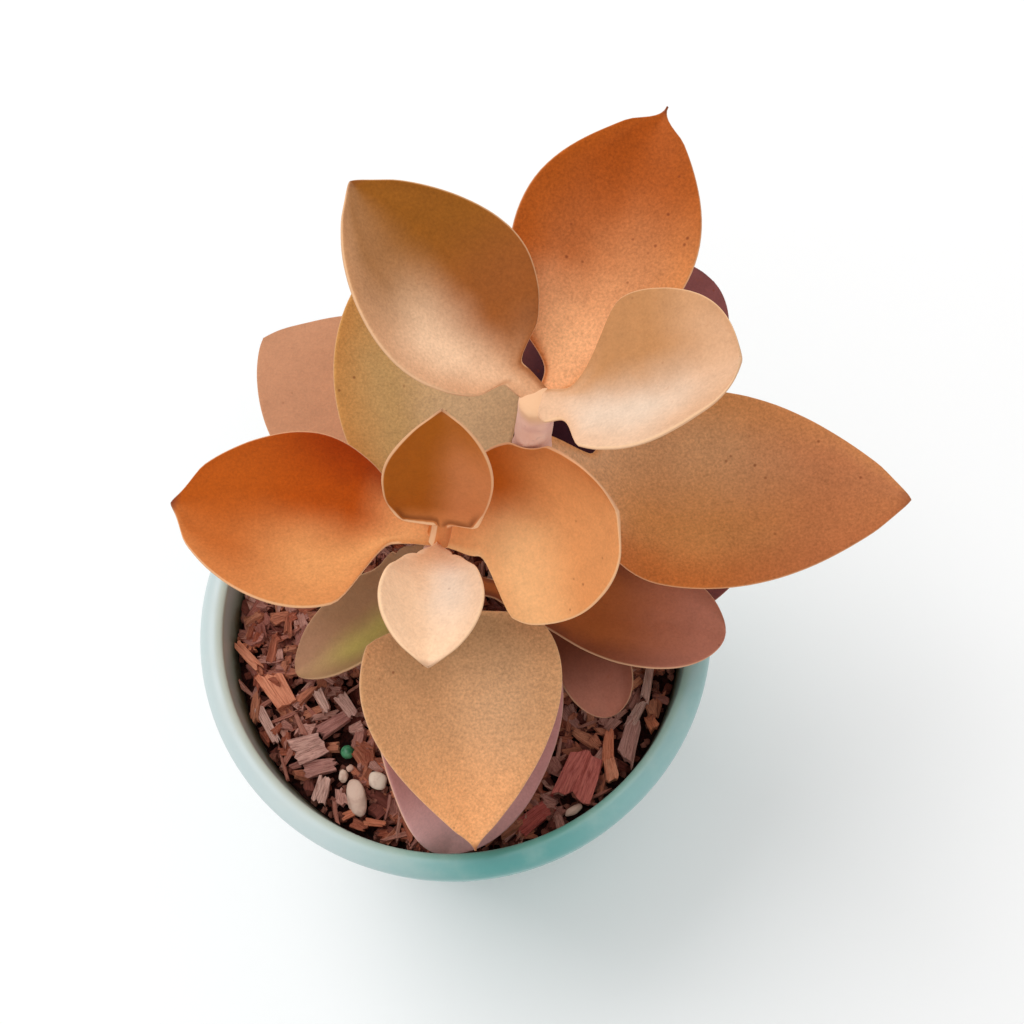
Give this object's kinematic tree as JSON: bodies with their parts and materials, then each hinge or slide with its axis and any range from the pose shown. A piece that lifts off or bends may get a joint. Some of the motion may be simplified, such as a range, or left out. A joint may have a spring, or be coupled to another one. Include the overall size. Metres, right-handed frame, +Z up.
{
  "type": "potted copper spoons succulent",
  "caption": "Young copper-leaved succulent with two leafy stems, standing in bark mix in a round plastic nursery pot with a rolled rim.",
  "frame": {"origin": "centre of the pot's flat underside", "axes": "+Z up along the pot's axis; +Y to the plant's far side as the picture is taken, with the taller stem behind the shorter one; +X to the picture's right"},
  "size_m": [0.1856, 0.1589, 0.2344],
  "materials": {
    "pot": "satin moulded plastic, muted teal, slightly translucent at the lip",
    "potting_mix": "rough reddish-brown bark chips with dark gaps and a few pale grit stones",
    "bead": "green coated fertiliser ball, satin",
    "stem": "pale mauve-pink felted stem with leaf scars",
    "leaf_copper": "matte leaf felted with very fine hairs, which give it a dusty velvet sheen; copper orange, paler toward the base",
    "leaf_peach": "matte leaf felted with very fine hairs, which give it a dusty velvet sheen; young leaf, pale peach",
    "leaf_olive": "matte leaf felted with very fine hairs, which give it a dusty velvet sheen; olive brown with an orange-tan margin",
    "leaf_mauve": "matte leaf felted with very fine hairs, which give it a dusty velvet sheen; old leaf, greyish mauve brown",
    "leaf_green": "matte leaf felted with very fine hairs, which give it a dusty velvet sheen; shaded leaf, dull olive green",
    "leaf_plum": "matte leaf felted with very fine hairs, which give it a dusty velvet sheen; shaded old leaf, plum brown"
  },
  "bodies": {
    "root": {"pot": "pot", "potting_mix": "potting_mix", "fertiliser_bead": "bead", "stem_front": "stem", "stem_back": "stem", "leaf_front_top_far": "leaf_copper", "leaf_front_top_near": "leaf_peach", "leaf_front_left": "leaf_copper", "leaf_front_right": "leaf_copper", "leaf_front_low_near": "leaf_olive", "leaf_front_low_far": "leaf_olive", "leaf_front_base_right": "leaf_mauve", "leaf_front_base_left": "leaf_green", "leaf_front_base_near": "leaf_mauve", "leaf_back_top_left": "leaf_olive", "leaf_back_top_right": "leaf_peach", "leaf_back_top_far": "leaf_copper", "leaf_back_low_right": "leaf_copper", "leaf_back_low_left": "leaf_mauve", "leaf_back_base_far": "leaf_plum", "leaf_back_base_right": "leaf_plum", "leaf_back_base_near": "leaf_mauve"}
  },
  "joints": []
}
